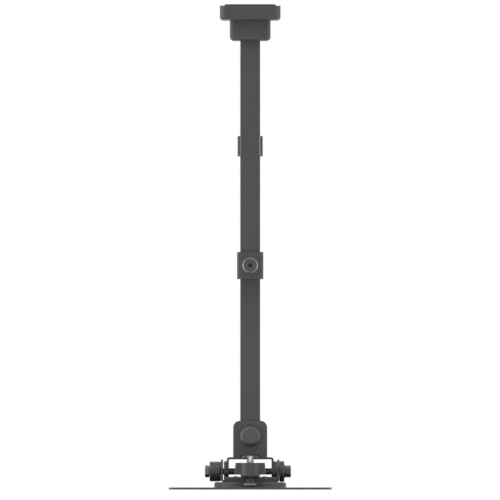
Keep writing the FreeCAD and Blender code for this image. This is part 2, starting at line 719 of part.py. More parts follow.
def make_yoke():
    """Ears, web, legs and forked tab of one folded and welded steel sheet."""
    yoke = new_body("yoke")
    outer = "web_half_width"
    inner = "(web_half_width - yoke_sheet)"
    low = f"({AXLE_Z} - leg_below_axle)"
    front = f"{REAR_Y} - leg_width / 2"
    back = f"{REAR_Y} + leg_width / 2"
    pad(yoke, "XZ", front, back, polygon, [
        (f"-{outer}", low), (f"-{inner}", low), (f"-{inner}", WEB_LOW_Z), (inner, WEB_LOW_Z),
        (inner, low), (outer, low), (outer, WEB_TOP_Z), (f"-{outer}", WEB_TOP_Z)])
    dress(yoke, "Fillet", "yoke_bend", on_edge(x=outer, z=WEB_TOP_Z, mirror=True))
    dress(yoke, "Fillet", "yoke_bend - yoke_sheet", on_edge(x=inner, z=WEB_LOW_Z, mirror=True))
    for y in (front, back):
        dress(yoke, "Fillet", "leg_corner", on_edge(y=y, z=low))
    side = f"({inner} - yoke_bend)"
    pad(yoke, "XY", WEB_LOW_Z, WEB_TOP_Z, polygon, [
        (f"-{side}", EAR_FRONT), (side, EAR_FRONT), (side, EAR_BACK), (f"-{side}", EAR_BACK)])
    top = f"({PIVOT_Z} + ear_rise)"
    for near, far in [(EAR_FRONT, f"{EAR_FRONT} + yoke_sheet"), (f"{EAR_BACK} - yoke_sheet", EAR_BACK)]:
        pad(yoke, "XZ", near, far, polygon, [
            ("-ear_width / 2", WEB_LOW_Z), ("ear_width / 2", WEB_LOW_Z), ("ear_width / 2", top),
            ("-ear_width / 2", top)])
    dress(yoke, "Fillet", "ear_corner", on_edge(x="ear_width / 2", z=top, mirror=True))
    tip = f"({STUD_Y} - tab_beyond_stud)"
    pad(yoke, "XY", TAB_LOW_Z, TAB_TOP_Z, polygon, [
        ("-tab_width / 2", tip), ("tab_width / 2", tip), ("tab_width / 2", EAR_FRONT),
        ("-tab_width / 2", EAR_FRONT)])
    dress(yoke, "Fillet", "tab_corner", on_edge(x="tab_width / 2", y=tip, mirror=True))
    for sign in ("", "-"):
        near = f"{sign}(tab_width / 2)"
        far = f"{sign}(tab_width / 2 + notch_width)"
        pocket(yoke, "XZ", EAR_FRONT, f"{EAR_FRONT} + yoke_sheet", polygon, [
            (near, WEB_TOP_Z), (far, WEB_TOP_Z), (far, f"{WEB_TOP_Z} + notch_height"),
            (near, f"{WEB_TOP_Z} + notch_height")])
    pocket(yoke, "XZ", EAR_FRONT, EAR_BACK, circle, "0", PIVOT_Z, HOLE_RADIUS)
    pocket(yoke, "YZ", f"-{outer}", outer, circle, REAR_Y, AXLE_Z, HOLE_RADIUS)
    fork = "(stud_radius + running_gap)"
    pocket(yoke, "XY", TAB_LOW_Z, TAB_TOP_Z, circle, "0", STUD_Y, fork)
    pocket(yoke, "XY", TAB_LOW_Z, TAB_TOP_Z, polygon, [
        (f"-{fork}", tip), (fork, tip), (fork, STUD_Y), (f"-{fork}", STUD_Y)])
    return node(yoke, "yoke")


def make_roll_pivot():
    centre = ("0", PIVOT_Z)
    front_seat = f"({EAR_FRONT} - washer_thickness)"
    back_seat = f"({EAR_BACK} + washer_thickness)"
    head = f"({front_seat} - head_height)"
    nut_end = f"({back_seat} + nut_height)"
    end = f"({nut_end} + bolt_end)"
    node(hex_bolt("pivot_bolt", "Y", centre, head, front_seat, end, "bolt_across", "bolt_radius"), "pivot_bolt")
    node(hex_nut("pivot_nut", "Y", centre, back_seat, nut_end, "bolt_across", RUNNING_RADIUS), "pivot_nut")
    pairs = [(front_seat, EAR_FRONT), (EAR_BACK, back_seat)]
    flat = [ring("pivot_washer", "Y", centre, low, high, HOLE_RADIUS, "washer_radius") for low, high in pairs]
    node(group("pivot_washers", flat), "pivot_washers")
    ears = [f"{EAR_FRONT} + yoke_sheet", f"{EAR_BACK} - yoke_sheet - friction_thickness"]
    thin = [ring("friction_washer", "Y", centre, low, f"{low} + friction_thickness", HOLE_RADIUS,
                 "friction_radius") for low in ears]
    node(group("friction_washers", thin), "friction_washers")
    make_cap("front_cap", EAR_FRONT, f"({head} - cap_room)", "-")
    make_cap("rear_cap", EAR_BACK, f"({end} + cap_room)", "+")


def make_cap(label, seat, room, out):
    """A moulded cap over a bolt end: seat is the ear's face, room the depth of the hollow, out its way."""
    cap = new_body(label)
    centre = ("0", PIVOT_Z)
    crown = f"({room} {out} cap_wall)"
    bore = "cap_radius - cap_wall"
    inward = {"+": "-", "-": "+"}[out]
    shoulder = f"({room} {inward} cap_edge / 2)"
    revolve(cap, "Y", centre, [(seat, "0"), (crown, "0"), (crown, "cap_radius"), (seat, "cap_radius")])
    dress(cap, "Fillet", "cap_edge", on_edge(y=crown))
    revolve(cap, "Y", centre, [
        (seat, "0"), (room, "0"), (room, f"{bore} - cap_edge / 2"), (shoulder, bore), (seat, bore)], "Groove")
    return node(cap, label)


def make_axle():
    centre = (REAR_Y, AXLE_Z)
    disc_low = f"({UPRIGHT_OUTSIDE} + face_gap)"
    disc_high = f"({disc_low} + disc_thickness)"
    head_low = f"({disc_high} + axle_washer_thickness)"
    head_high = f"({head_low} + axle_head_height)"
    knob_right = f"(-{UPRIGHT_OUTSIDE} - face_gap)"
    knob_left = f"({knob_right} - knob_length)"
    stop_right = f"({knob_left} - face_gap)"
    stop_left = f"({stop_right} - stop_nut_height)"
    node(hex_bolt("axle_bolt", "X", centre, head_low, head_high, stop_left, "bolt_across", "bolt_radius"),
         "axle_bolt")
    node(ring("axle_washer", "X", centre, disc_high, head_low, RUNNING_RADIUS, "washer_radius"), "axle_washer")
    node(hex_nut("stop_nut", "X", centre, stop_left, stop_right, "bolt_across", RUNNING_RADIUS), "stop_nut")
    left = ring("left_spacer", "X", centre, "-web_half_width - left_spacer", "-web_half_width",
                RUNNING_RADIUS, SPACER_RADIUS)
    right = ring("right_spacer", "X", centre, "web_half_width", "web_half_width + right_spacer",
                 RUNNING_RADIUS, SPACER_RADIUS)
    node(left, "left_spacer")
    node(right, "right_spacer")
    disc = ring("clamp_disc", "X", centre, disc_low, disc_high, RUNNING_RADIUS, "disc_radius")
    dress(disc, "Chamfer", "disc_chamfer", lambda edge: on_round(edge, "disc_radius"))
    node(disc, "clamp_disc")
    knob = ring("clamp_knob_body", "X", centre, knob_left, knob_right, RUNNING_RADIUS, "knob_radius")
    dress(knob, "Chamfer", "knob_chamfer", lambda edge: on_round(edge, "knob_radius"))
    room = hex_prism("clamp_knob_room", "X", centre, f"{knob_right} - nut_height", knob_right,
                     "bolt_across + 2 * insert_gap")
    node(cut("clamp_knob", knob, room), "clamp_knob")
    insert = hex_nut("knob_insert", "X", centre, f"{knob_right} - nut_height", knob_right, "bolt_across",
                     RUNNING_RADIUS)
    node(insert, "knob_insert")


def on_round(edge, radius):
    """Whether an edge is a circle of the given radius."""
    return isinstance(edge.Curve, Part.Circle) and abs(edge.Curve.Radius - amount(radius)) < 0.001


def make_tilt_bracket():
    bracket = new_body("tilt_bracket")
    low = BOSS_TOP_Z
    floor = f"({low} + bracket_sheet)"
    top = f"({AXLE_Z} + upright_rise)"
    front = f"({REAR_Y} - upright_half_width)"
    back = f"({REAR_Y} + upright_half_width)"
    pad(bracket, "XZ", front, back, polygon, [
        (f"-{UPRIGHT_OUTSIDE}", low), (UPRIGHT_OUTSIDE, low), (UPRIGHT_OUTSIDE, top), (UPRIGHT_INSIDE, top),
        (UPRIGHT_INSIDE, floor), (f"-{UPRIGHT_INSIDE}", floor), (f"-{UPRIGHT_INSIDE}", top),
        (f"-{UPRIGHT_OUTSIDE}", top)])
    for y in (front, back):
        dress(bracket, "Fillet", "upright_corner", on_edge(y=y, z=top))
    dress(bracket, "Fillet", "bracket_bend", on_edge(x=UPRIGHT_OUTSIDE, z=low, mirror=True))
    dress(bracket, "Fillet", "bracket_bend - bracket_sheet", on_edge(x=UPRIGHT_INSIDE, z=floor, mirror=True))
    near = f"({REAR_Y} - base_half_depth)"
    far = f"({REAR_Y} + base_half_depth)"
    pad(bracket, "XY", low, floor, polygon, [
        (f"-{LIP_HALF}", near), (LIP_HALF, near), (LIP_HALF, far), (f"-{LIP_HALF}", far)])
    lip_top = f"({low} + lip_height)"
    for start, end in [(near, f"{near} + bracket_sheet"), (f"{far} - bracket_sheet", far)]:
        pad(bracket, "XZ", start, end, polygon, [
            (f"-{LIP_HALF}", low), (LIP_HALF, low), (LIP_HALF, lip_top), (f"-{LIP_HALF}", lip_top)])
    for y in (near, far):
        dress(bracket, "Fillet", "lip_edge", on_edge(y=y, z=lip_top))
    pocket(bracket, "YZ", f"-{UPRIGHT_OUTSIDE}", UPRIGHT_OUTSIDE, circle, REAR_Y, AXLE_Z, RUNNING_RADIUS)
    pocket(bracket, "XY", low, floor, circles, plate_bolt_places(), "plate_bolt_radius + hole_gap")
    window = f"sqrt(pow({SPACER_RADIUS} + slide_gap; 2) - pow(boss_below_axle - bracket_bend; 2))"
    for side in ("", "-"):
        inside = f"{side}(web_half_width - slide_gap)"
        outside = f"{side}{UPRIGHT_INSIDE}"
        pocket(bracket, "XY", low, f"{low} + bracket_bend", polygon, [
            (inside, f"{REAR_Y} - {window}"), (outside, f"{REAR_Y} - {window}"),
            (outside, f"{REAR_Y} + {window}"), (inside, f"{REAR_Y} + {window}")])
    return node(bracket, "tilt_bracket")


def plate_bolt_places():
    return [(f"{x} plate_bolt_x", f"{REAR_Y} {y} plate_bolt_y") for x in "+-" for y in "+-"]


def make_projector_plate():
    plate = new_body("projector_plate")
    flange_low = f"({FLANGE_TOP_Z} - plate_sheet)"
    under = f"({BOSS_TOP_Z} - plate_sheet)"
    centre = ("0", REAR_Y)
    pad(plate, "XY", flange_low, FLANGE_TOP_Z, rounded, "0", REAR_Y, "plate_side", "plate_side", "plate_corner")
    revolve(plate, "Z", centre, [
        (flange_low, "0"), (BOSS_TOP_Z, "0"), (BOSS_TOP_Z, "boss_radius"), (flange_low, "boss_radius")])
    rims = [(BOSS_TOP_Z, "boss_edge"), (FLANGE_TOP_Z, "boss_flare")]
    for height, rounding in rims:
        at_height = on_edge(z=height)
        dress(plate, "Fillet", rounding, lambda edge: on_round(edge, "boss_radius") and at_height(edge))
    room = "(boss_radius - plate_sheet)"
    revolve(plate, "Z", centre, [(flange_low, "0"), (under, "0"), (under, room), (flange_low, room)], "Groove")
    pocket(plate, "XY", under, BOSS_TOP_Z, circles, plate_bolt_places(), "plate_bolt_radius + hole_gap")
    slots = [
        (45, "boss_radius + diagonal_slot_from_boss", "plate_side / sqrt(2) - diagonal_slot_from_corner"),
        (0, "boss_radius + straight_slot_from_boss", "plate_side / 2 - straight_slot_from_edge")]
    for angle, start, end in slots:
        first = pocket(plate, "XY", flange_low, FLANGE_TOP_Z, slot, start, end, "slot_radius")
        sketch = first.Profile[0]
        bind(sketch, "AttachmentOffset.Base.y", REAR_Y)
        sketch.AttachmentOffset.Rotation = FreeCAD.Rotation(FreeCAD.Vector(0, 0, 1), angle)
        bind(sketch, "AttachmentOffset.Rotation.Angle", str(angle))
        pattern = plate.newObject("PartDesign::PolarPattern", "slot_pattern")
        pattern.Originals = [first]
        pattern.Axis = (sketch, ["N_Axis"])
        pattern.Angle = 360.0
        pattern.Occurrences = 4
        plate.Tip = pattern
        doc.recompute()
    return node(plate, "projector_plate")


def make_plate_fasteners():
    under = f"({BOSS_TOP_Z} - plate_sheet)"
    floor = f"({BOSS_TOP_Z} + bracket_sheet)"
    nut_top = f"({floor} + plate_nut_height)"
    low = f"({under} - plate_head_height)"
    end = f"({nut_top} + hex_chamfer)"
    bolts = []
    nuts = []
    for centre in plate_bolt_places():
        bolts.append(turned("plate_bolt", "Z", centre, [
            (low, "0"), (end, "0"), (end, "plate_bolt_radius - hex_chamfer / 2"),
            (f"{end} - hex_chamfer / 2", "plate_bolt_radius"), (under, "plate_bolt_radius"),
            (under, "plate_head_radius"), (f"{low} + plate_head_height / 2", "plate_head_radius"),
            (low, "plate_head_radius / 2")]))
        nuts.append(hex_nut("plate_nut", "Z", centre, floor, nut_top, "plate_bolt_across",
                            "plate_bolt_radius + running_gap"))
    node(group("plate_bolts", bolts), "plate_bolts")
    node(group("plate_nuts", nuts), "plate_nuts")


def make_adjuster():
    centre = ("0", STUD_Y)
    stud_top = f"({TAB_TOP_Z} + stud_above_tab)"
    stud_low = f"({BORE_FLOOR_Z} + foot_rise + stud_end_gap)"
    node(rod("adjuster_stud", "Z", centre, stud_low, stud_top, "stud_radius", "stud_chamfer"), "adjuster_stud")
    make_wing_knob(centre)
    make_swivel_foot(centre)


def make_wing_knob(centre):
    knob = new_body("wing_knob")
    taper_top = f"{HUB_LOW_Z} + hub_chamfer"
    revolve(knob, "Z", centre, [
        (SPIGOT_LOW_Z, "0"), (HUB_TOP_Z, "0"), (HUB_TOP_Z, "hub_radius"), (taper_top, "hub_radius"),
        (HUB_LOW_Z, "hub_radius - hub_chamfer"), (HUB_LOW_Z, "wing_neck_radius"),
        (NECK_LOW_Z, "wing_neck_radius"), (NECK_LOW_Z, "spigot_radius"), (SPIGOT_LOW_Z, "spigot_radius")])
    wing_low = f"({HUB_TOP_Z} - wing_height)"
    near = f"{STUD_Y} - wing_thickness / 2"
    far = f"{STUD_Y} + wing_thickness / 2"
    pad(knob, "XZ", near, far, polygon, [
        ("-wing_low_half", wing_low), ("wing_low_half", wing_low), ("wing_top_half", HUB_TOP_Z),
        ("-wing_top_half", HUB_TOP_Z)])
    dress(knob, "Fillet", "wing_corner", lambda edge: wing_side(edge, near) or wing_side(edge, far))
    bore = "stud_radius + running_gap"
    hole = [(BORE_FLOOR_Z, "0"), (HUB_TOP_Z, "0"), (HUB_TOP_Z, bore), (BORE_FLOOR_Z, bore)]
    revolve(knob, "Z", centre, hole, "Groove")
    return node(knob, "wing_knob")


def wing_side(edge, y):
    """Whether an edge is one of the sloping outer edges of a wing, at the given y."""
    points = [vertex.Point for vertex in edge.Vertexes]
    outer = all(abs(point.x) > amount("wing_top_half") - 0.01 for point in points)
    same_y = all(abs(point.y - amount(y)) < 0.001 for point in points)
    return outer and same_y and abs(points[0].z - points[-1].z) > amount("wing_height") / 2


def make_swivel_foot(centre):
    """A ball-bottomed foot that turns on the spigot under the wing knob."""
    foot = turned("swivel_foot_solid", "Z", centre, [
        (FOOT_LOW_Z, "0"), (FOOT_TOP_Z, "0"), (FOOT_TOP_Z, "foot_shoulder_radius"),
        (f"{FOOT_TOP_Z} - foot_shoulder", "foot_radius"), (FOOT_LOW_Z, "foot_radius")])
    ball = doc.addObject("Part::Sphere", "swivel_foot_ball")
    bind(ball, "Radius", "foot_sphere_radius")
    bind(ball, "Placement.Base.y", STUD_Y)
    bind(ball, "Placement.Base.z", f"{FOOT_LOW_Z} + foot_sphere_radius")
    dome = doc.addObject("Part::MultiCommon", "swivel_foot_dome")
    dome.Shapes = [foot, ball]
    hole = drum("swivel_foot_hole", "Z", centre, f"{SPIGOT_LOW_Z} - spigot_end_gap", FOOT_TOP_Z,
                "spigot_radius + running_gap")
    return node(cut("swivel_foot", dome, hole), "swivel_foot")


make_ceiling_plate()
make_socket_bolt()
make_ceiling_cover()
make_upper_tube()
make_collar()
make_clamp_screw()
make_lower_tube()
make_guide_clip()
make_clip_fasteners()
make_yoke()
make_roll_pivot()
make_axle()
make_tilt_bracket()
make_projector_plate()
make_plate_fasteners()
make_adjuster()
doc.recompute()

for thing in doc.Objects:
    if "Invalid" in thing.State or "Error" in thing.State:
        raise ValueError(f"{thing.Label} failed: {thing.State}")
for label, piece in NODES.items():
    if piece.Shape.isNull() or not piece.Shape.isValid():
        raise ValueError(f"{label} has no valid shape")

os.makedirs("parts", exist_ok=True)
for label, piece in NODES.items():
    piece.Shape.exportStep(f"parts/{label}.step")
    box = piece.Shape.BoundBox
    print(f"{label}: {len(piece.Shape.Solids)} solid(s), {piece.Shape.Volume / 1000:.2f} cm3, "
          f"x {box.XMin:.1f} to {box.XMax:.1f}, y {box.YMin:.1f} to {box.YMax:.1f}, "
          f"z {box.ZMin:.1f} to {box.ZMax:.1f}")
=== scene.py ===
# %% [markdown]
# # A projector ceiling mount, dressed for its picture
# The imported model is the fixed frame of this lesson: every piece is already at its real size and place, in
# metres, with the ceiling at z = 0 and the front towards -Y. The lesson softens the edges of the pieces as a
# press brake, a tumbler or a mould would leave them, cuts the details that are too fine for the solids, and
# gives every piece its finish.

# %% Load the frame
import json
import math

import bmesh
import bpy
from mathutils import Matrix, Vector


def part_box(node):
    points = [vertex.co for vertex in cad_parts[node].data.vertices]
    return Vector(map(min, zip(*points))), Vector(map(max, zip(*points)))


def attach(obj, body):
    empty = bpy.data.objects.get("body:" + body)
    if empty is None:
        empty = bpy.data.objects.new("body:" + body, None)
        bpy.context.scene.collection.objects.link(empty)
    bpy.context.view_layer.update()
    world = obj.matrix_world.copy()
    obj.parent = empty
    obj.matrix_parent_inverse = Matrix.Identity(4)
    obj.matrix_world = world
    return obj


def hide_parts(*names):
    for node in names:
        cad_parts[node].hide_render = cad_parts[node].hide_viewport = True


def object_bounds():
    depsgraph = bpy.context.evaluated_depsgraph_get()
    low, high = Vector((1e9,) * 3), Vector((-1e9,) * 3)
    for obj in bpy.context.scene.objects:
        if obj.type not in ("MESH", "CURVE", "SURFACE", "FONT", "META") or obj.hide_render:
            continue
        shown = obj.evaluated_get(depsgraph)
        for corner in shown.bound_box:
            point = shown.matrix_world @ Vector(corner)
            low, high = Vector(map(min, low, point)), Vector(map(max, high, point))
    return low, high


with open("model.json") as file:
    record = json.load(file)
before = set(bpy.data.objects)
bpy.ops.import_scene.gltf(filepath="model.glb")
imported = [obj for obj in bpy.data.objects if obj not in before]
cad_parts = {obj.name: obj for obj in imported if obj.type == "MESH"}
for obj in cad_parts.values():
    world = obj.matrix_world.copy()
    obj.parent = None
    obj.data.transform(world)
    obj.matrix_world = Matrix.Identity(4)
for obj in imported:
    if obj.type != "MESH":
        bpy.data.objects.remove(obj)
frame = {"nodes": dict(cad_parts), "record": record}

scene = bpy.context.scene
nodes = frame["nodes"]
record = frame["record"]
cad_low, cad_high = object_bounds()
body_of = {name: body for body, members in record["behaviour"]["bodies"].items() for name in members}
slot_of = {part["node"]: part["material_slot"] for part in record["subparts"]}
mm = 0.001
print(len(nodes), "nodes, box", [round(v / mm, 1) for v in (*cad_low, *cad_high)], "mm")

# %% [markdown]
# ## The camera
# The picture is taken straight from the front with a very long lens: the plate at the bottom shows only its
# edge, and the sides of the pole stay parallel. An orthographic camera would do it, but it can't step back when
# a view needs more room. A long perspective lens at the height of the plate, aimed up by about half a degree at
# the middle of the pole, gives the same drawing and still works from every side.

# %% Camera
picture_width = 626.5 * mm
lens = 1600.0
sensor = 36.0
aim = Vector((-0.24 * mm, 0.0, -307.4 * mm))
rise_over_plate = 1.3 * mm
camera_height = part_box("projector_plate")[0].z + rise_over_plate
distance = picture_width * lens / sensor

camera_data = bpy.data.cameras.new("camera")
camera_data.lens = lens
camera_data.sensor_width = sensor
camera_data.clip_start = 1.0
camera_data.clip_end = 60.0
camera = bpy.data.objects.new("camera", camera_data)
camera.location = (aim.x, -distance, camera_height)
camera.rotation_mode = "QUATERNION"
camera.rotation_quaternion = (aim - camera.location).to_track_quat("-Z", "Y")
scene.collection.objects.link(camera)
scene.camera = camera
scene.view_settings.view_transform = "Standard"
print("camera", round(distance, 2), "m away, frame", round(picture_width / mm, 1), "mm wide")

# %% [markdown]
# ## Trees of nodes
# The world, the floor, the finishes and the repeating details further down are all trees of nodes. Written one
# property at a time, such a tree takes pages. Two helpers keep it to about a line for each node: one adds a node
# with its values and links, and the other adds a step of arithmetic.

# %% Helpers that add nodes
def add(tree, kind, inputs, output=0, **settings):
    """Add a node whose inputs are plain values or other nodes' outputs. Gives one of its own outputs."""
    made = tree.nodes.new(kind)
    for key, value in settings.items():
        setattr(made, key, value)
    for key, value in inputs.items():
        if isinstance(value, bpy.types.NodeSocket):
            tree.links.new(value, made.inputs[key])
        else:
            made.inputs[key].default_value = value
    return made.outputs[output] if made.outputs else None


def maths(tree, operation, first, second=0.0):
    """Add one step of arithmetic on numbers or sockets."""
    return add(tree, "ShaderNodeMath", {0: first, 1: second}, operation=operation)


# %% [markdown]
# ## Light and background
# The mount hangs in plain white surroundings. A white world does two jobs: the camera and mirror-like rays see
# it at full white, and soft light comes from it all round. Two tall panels stand almost square to the sides and
# lift the rounded edges, as the walls of a photographer's tent do, the left one a little more than the right. A
# third one overhead draws the shoulders of the plate and of the bracket, a low one opens what looks down, and
# one behind keeps the back from going black. The panels are large, so that no small lamp is mirrored in the
# bright metal.

# %% World
plain_white = (1, 1, 1, 1)
soft_strength = 0.18

world = bpy.data.worlds.new("white_surroundings")
world.use_nodes = True
scene.world = world
tree = world.node_tree
tree.nodes.clear()
rays = tree.nodes.new("ShaderNodeLightPath").outputs
seen = maths(tree, "MAXIMUM", rays["Is Camera Ray"], rays["Is Glossy Ray"])
seen_or_through = maths(tree, "MAXIMUM", seen, rays["Is Transmission Ray"])
soft = add(tree, "ShaderNodeBackground", {"Color": plain_white, "Strength": soft_strength})
white = add(tree, "ShaderNodeBackground", {"Color": plain_white, "Strength": 1.0})
either = add(tree, "ShaderNodeMixShader", {0: seen_or_through, 1: soft, 2: white})
add(tree, "ShaderNodeOutputWorld", {"Surface": either})
print(world.name, "with soft light of strength", soft_strength)

# %% Lamps
middle = (cad_low + cad_high) / 2


def panel(name, x, y, rise, width, height, watts):
    """A rectangular soft lamp that faces the mount's middle from rise above it. Lengths are in metres."""
    data = bpy.data.lights.new(name, "AREA")
    data.shape = "RECTANGLE"
    data.size = width
    data.size_y = height
    data.energy = watts
    made = bpy.data.objects.new(name, data)
    place = Vector((x, y, middle.z + rise))
    made.location = place
    made.rotation_mode = "QUATERNION"
    made.rotation_quaternion = (middle - place).to_track_quat("-Z", "Y")
    scene.collection.objects.link(made)
    print(f"{name}: {width} m by {height} m, {watts} W")


panel("left_panel", x=-1.5, y=-0.3, rise=0.0, width=1.4, height=2.2, watts=22.0)
panel("right_panel", x=1.5, y=-0.3, rise=0.0, width=1.4, height=2.2, watts=15.5)
panel("overhead_panel", x=0.0, y=-1.0, rise=1.5, width=1.6, height=1.0, watts=14.0)
panel("low_panel", x=0.0, y=-1.9, rise=-0.45, width=1.6, height=0.5, watts=2.8)
panel("back_panel", x=0.0, y=1.7, rise=0.8, width=1.8, height=1.2, watts=16.0)

# %% [markdown]
# ## The floor
# A hanging mount doesn't stand on anything, so the floor is well below it: pale, plain and only there to catch a
# soft shadow in views from above. The panels light the mount and hardly reach the floor, so what the camera and
# mirror-like rays see of it is lifted towards white, and its shadow stays. Away from the mount the lift grows
# until the floor is as white as the surroundings, so that its edge doesn't draw a line. Seen from underneath it
# lets the camera through, so that views from below stay open.

# %% Floor
floor_drop = 0.45
floor_half = 3.0
floor_colour = (0.93, 0.93, 0.93, 1)
floor_lift = 0.62
fade_start = 0.3
fade_end = 1.8
floor_z = cad_low.z - floor_drop

floor_mesh = bpy.data.meshes.new("floor")
floor_corners = [(x * floor_half, y * floor_half, floor_z) for x, y in ((-1, -1), (1, -1), (1, 1), (-1, 1))]
floor_mesh.from_pydata(floor_corners, [], [(0, 1, 2, 3)])
floor = bpy.data.objects.new("floor", floor_mesh)
scene.collection.objects.link(floor)
print("floor", floor_drop, "m below the plate")

# %% The floor's paint
floor_paint = bpy.data.materials.new("pale_floor")
floor_paint.use_nodes = True
tree = floor_paint.node_tree
tree.nodes.clear()
rays = tree.nodes.new("ShaderNodeLightPath").outputs
seen = maths(tree, "MAXIMUM", rays["Is Camera Ray"], rays["Is Glossy Ray"])
spot = add(tree, "ShaderNodeTexCoord", {}, output="Object")
level_spot = add(tree, "ShaderNodeVectorMath", {0: spot, 1: (1, 1, 0)}, operation="MULTIPLY")
away = add(tree, "ShaderNodeVectorMath", {0: level_spot}, output="Value", operation="LENGTH")
fade = add(tree, "ShaderNodeMapRange",
           {"Value": away, "From Min": fade_start, "From Max": fade_end, "To Min": floor_lift, "To Max": 1.0},
           output="Result", interpolation_type="SMOOTHSTEP")
glow = add(tree, "ShaderNodeEmission", {"Color": plain_white, "Strength": maths(tree, "MULTIPLY", seen, fade)})
matte = add(tree, "ShaderNodeBsdfDiffuse", {"Color": floor_colour})
lifted = add(tree, "ShaderNodeAddShader", {0: matte, 1: glow})
clear = add(tree, "ShaderNodeBsdfTransparent", {})
underneath = add(tree, "ShaderNodeNewGeometry", {}, output="Backfacing")
either = add(tree, "ShaderNodeMixShader", {0: underneath, 1: lifted, 2: clear})
add(tree, "ShaderNodeOutputMaterial", {"Surface": either})
floor_mesh.materials.append(floor_paint)
print(floor_paint.name, "turns to white", fade_end, "m away from the mount")

# %% [markdown]
# ## Finishes
# All the finishes share one build: a base colour that drifts a little from place to place, a roughness that does
# the same, and a fine bump whose grain has the size of the real one. They read Object coordinates, which are the
# mount's own metres, so a grain keeps its size on every piece and stays put when a piece moves.

# %% A helper for the finishes
blotch = 30 * mm
blotch_detail = 4.0
grain_detail = 3.0
grain_roughness = 0.6
noise_low, noise_high = 0.3, 0.7        # nearly all the values of a noise lie between these two


def finish(name, colour, drift, roughness, rough_spread, grain, bump, metallic=0.0):
    """A surface whose colour drifts by a share, with a bump of a grain (m) that rises by bump (m)."""
    made = bpy.data.materials.new(name)
    made.use_nodes = True
    made.diffuse_color = (*colour, 1)
    tree = made.node_tree
    shader = tree.nodes["Principled BSDF"].inputs
    shader["Metallic"].default_value = metallic
    place = add(tree, "ShaderNodeTexCoord", {}, output="Object")
    broad = add(tree, "ShaderNodeTexNoise", {"Vector": place, "Scale": 1 / blotch, "Detail": blotch_detail},
                output="Fac")
    tint = add(tree, "ShaderNodeValToRGB", {"Fac": broad}, output="Color")
    ends = tint.node.color_ramp.elements
    for end, position, share in ((ends[0], noise_low, 1 - drift), (ends[1], noise_high, 1 + drift)):
        end.position = position
        end.color = (*[c * share for c in colour], 1)
    fine = add(tree, "ShaderNodeTexNoise", {"Vector": place, "Scale": 1 / grain, "Detail": grain_detail,
                                            "Roughness": grain_roughness}, output="Fac")
    gloss = add(tree, "ShaderNodeMapRange", {"Value": fine, "From Min": noise_low, "From Max": noise_high,
                                             "To Min": roughness - rough_spread,
                                             "To Max": roughness + rough_spread}, output="Result")
    relief = add(tree, "ShaderNodeBump", {"Height": fine, "Strength": 1.0, "Distance": bump}, output="Normal")
    tree.links.new(tint, shader["Base Color"])
    tree.links.new(gloss, shader["Roughness"])
    tree.links.new(relief, shader["Normal"])
    print(f"{name}: roughness {roughness}, a grain of {grain / mm:.2f} mm")
    return made


# %% Coated, moulded and rubber finishes
powder_coat = finish("powder_coat", (0.041, 0.041, 0.040), drift=0.04,
                     roughness=0.48, rough_spread=0.05, grain=0.9 * mm, bump=0.008 * mm)
cover_plastic = finish("cover_plastic", (0.043, 0.036, 0.038), drift=0.04,
                       roughness=0.50, rough_spread=0.05, grain=0.35 * mm, bump=0.008 * mm)
knob_plastic = finish("knob_plastic", (0.046, 0.040, 0.042), drift=0.05,
                      roughness=0.50, rough_spread=0.05, grain=0.3 * mm, bump=0.006 * mm)
cap_plastic = finish("cap_plastic", (0.058, 0.058, 0.058), drift=0.04,
                     roughness=0.46, rough_spread=0.04, grain=0.3 * mm, bump=0.006 * mm)
white_nylon = finish("white_nylon", (0.55, 0.55, 0.52), drift=0.03,
                     roughness=0.45, rough_spread=0.05, grain=0.3 * mm, bump=0.006 * mm)
foot_rubber = finish("foot_rubber", (0.27, 0.27, 0.267), drift=0.05,
                     roughness=0.62, rough_spread=0.05, grain=0.4 * mm, bump=0.010 * mm)
# A lighter grey that stands in for the highlight on the clip's sloping lips: painted highlight.
lip_painted_highlight = finish("lip_painted_highlight", (0.165, 0.165, 0.165), drift=0.05,
                     roughness=0.42, rough_spread=0.05, grain=0.6 * mm, bump=0.004 * mm)

# %% Blackened, plated and turned finishes
black_oxide = finish("black_oxide", (0.045, 0.045, 0.046), drift=0.08,
                     roughness=0.40, rough_spread=0.06, grain=0.5 * mm, bump=0.005 * mm)
# Near-black, darker than the black oxide: painted shade for the depth of the clamp screw's socket.
socket_painted_shade = finish("socket_painted_shade", (0.008, 0.009, 0.009), drift=0.05,
                    roughness=0.60, rough_spread=0.05, grain=0.5 * mm, bump=0.004 * mm)
dull_zinc = finish("dull_zinc", (0.11, 0.11, 0.113), drift=0.10,
                   roughness=0.38, rough_spread=0.06, grain=0.5 * mm, bump=0.005 * mm, metallic=1.0)
plain_zinc = finish("plain_zinc", (0.27, 0.28, 0.295), drift=0.06,
                    roughness=0.36, rough_spread=0.06, grain=0.4 * mm, bump=0.004 * mm, metallic=1.0)
bright_zinc = finish("bright_zinc", (0.56, 0.585, 0.61), drift=0.06,
                     roughness=0.34, rough_spread=0.06, grain=0.4 * mm, bump=0.004 * mm, metallic=1.0)
turned_steel = finish("turned_steel", (0.15, 0.15, 0.15), drift=0.04,
                      roughness=0.42, rough_spread=0.05, grain=0.5 * mm, bump=0.003 * mm, metallic=1.0)

# %% Which piece has which finish
slot_finish = {"coated_steel": powder_coat, "moulded_plastic": knob_plastic, "black_oxide": black_oxide,
               "zinc_steel": plain_zinc, "nylon": white_nylon}
node_finish = {name: slot_finish[slot_of[name]] for name in nodes}
node_finish.update(ceiling_cover=cover_plastic, front_cap=cap_plastic, rear_cap=cap_plastic,
                   swivel_foot=foot_rubber, stop_nut=dull_zinc, adjuster_stud=bright_zinc)
print("in use:", ", ".join(sorted({made.name for made in node_finish.values()})))

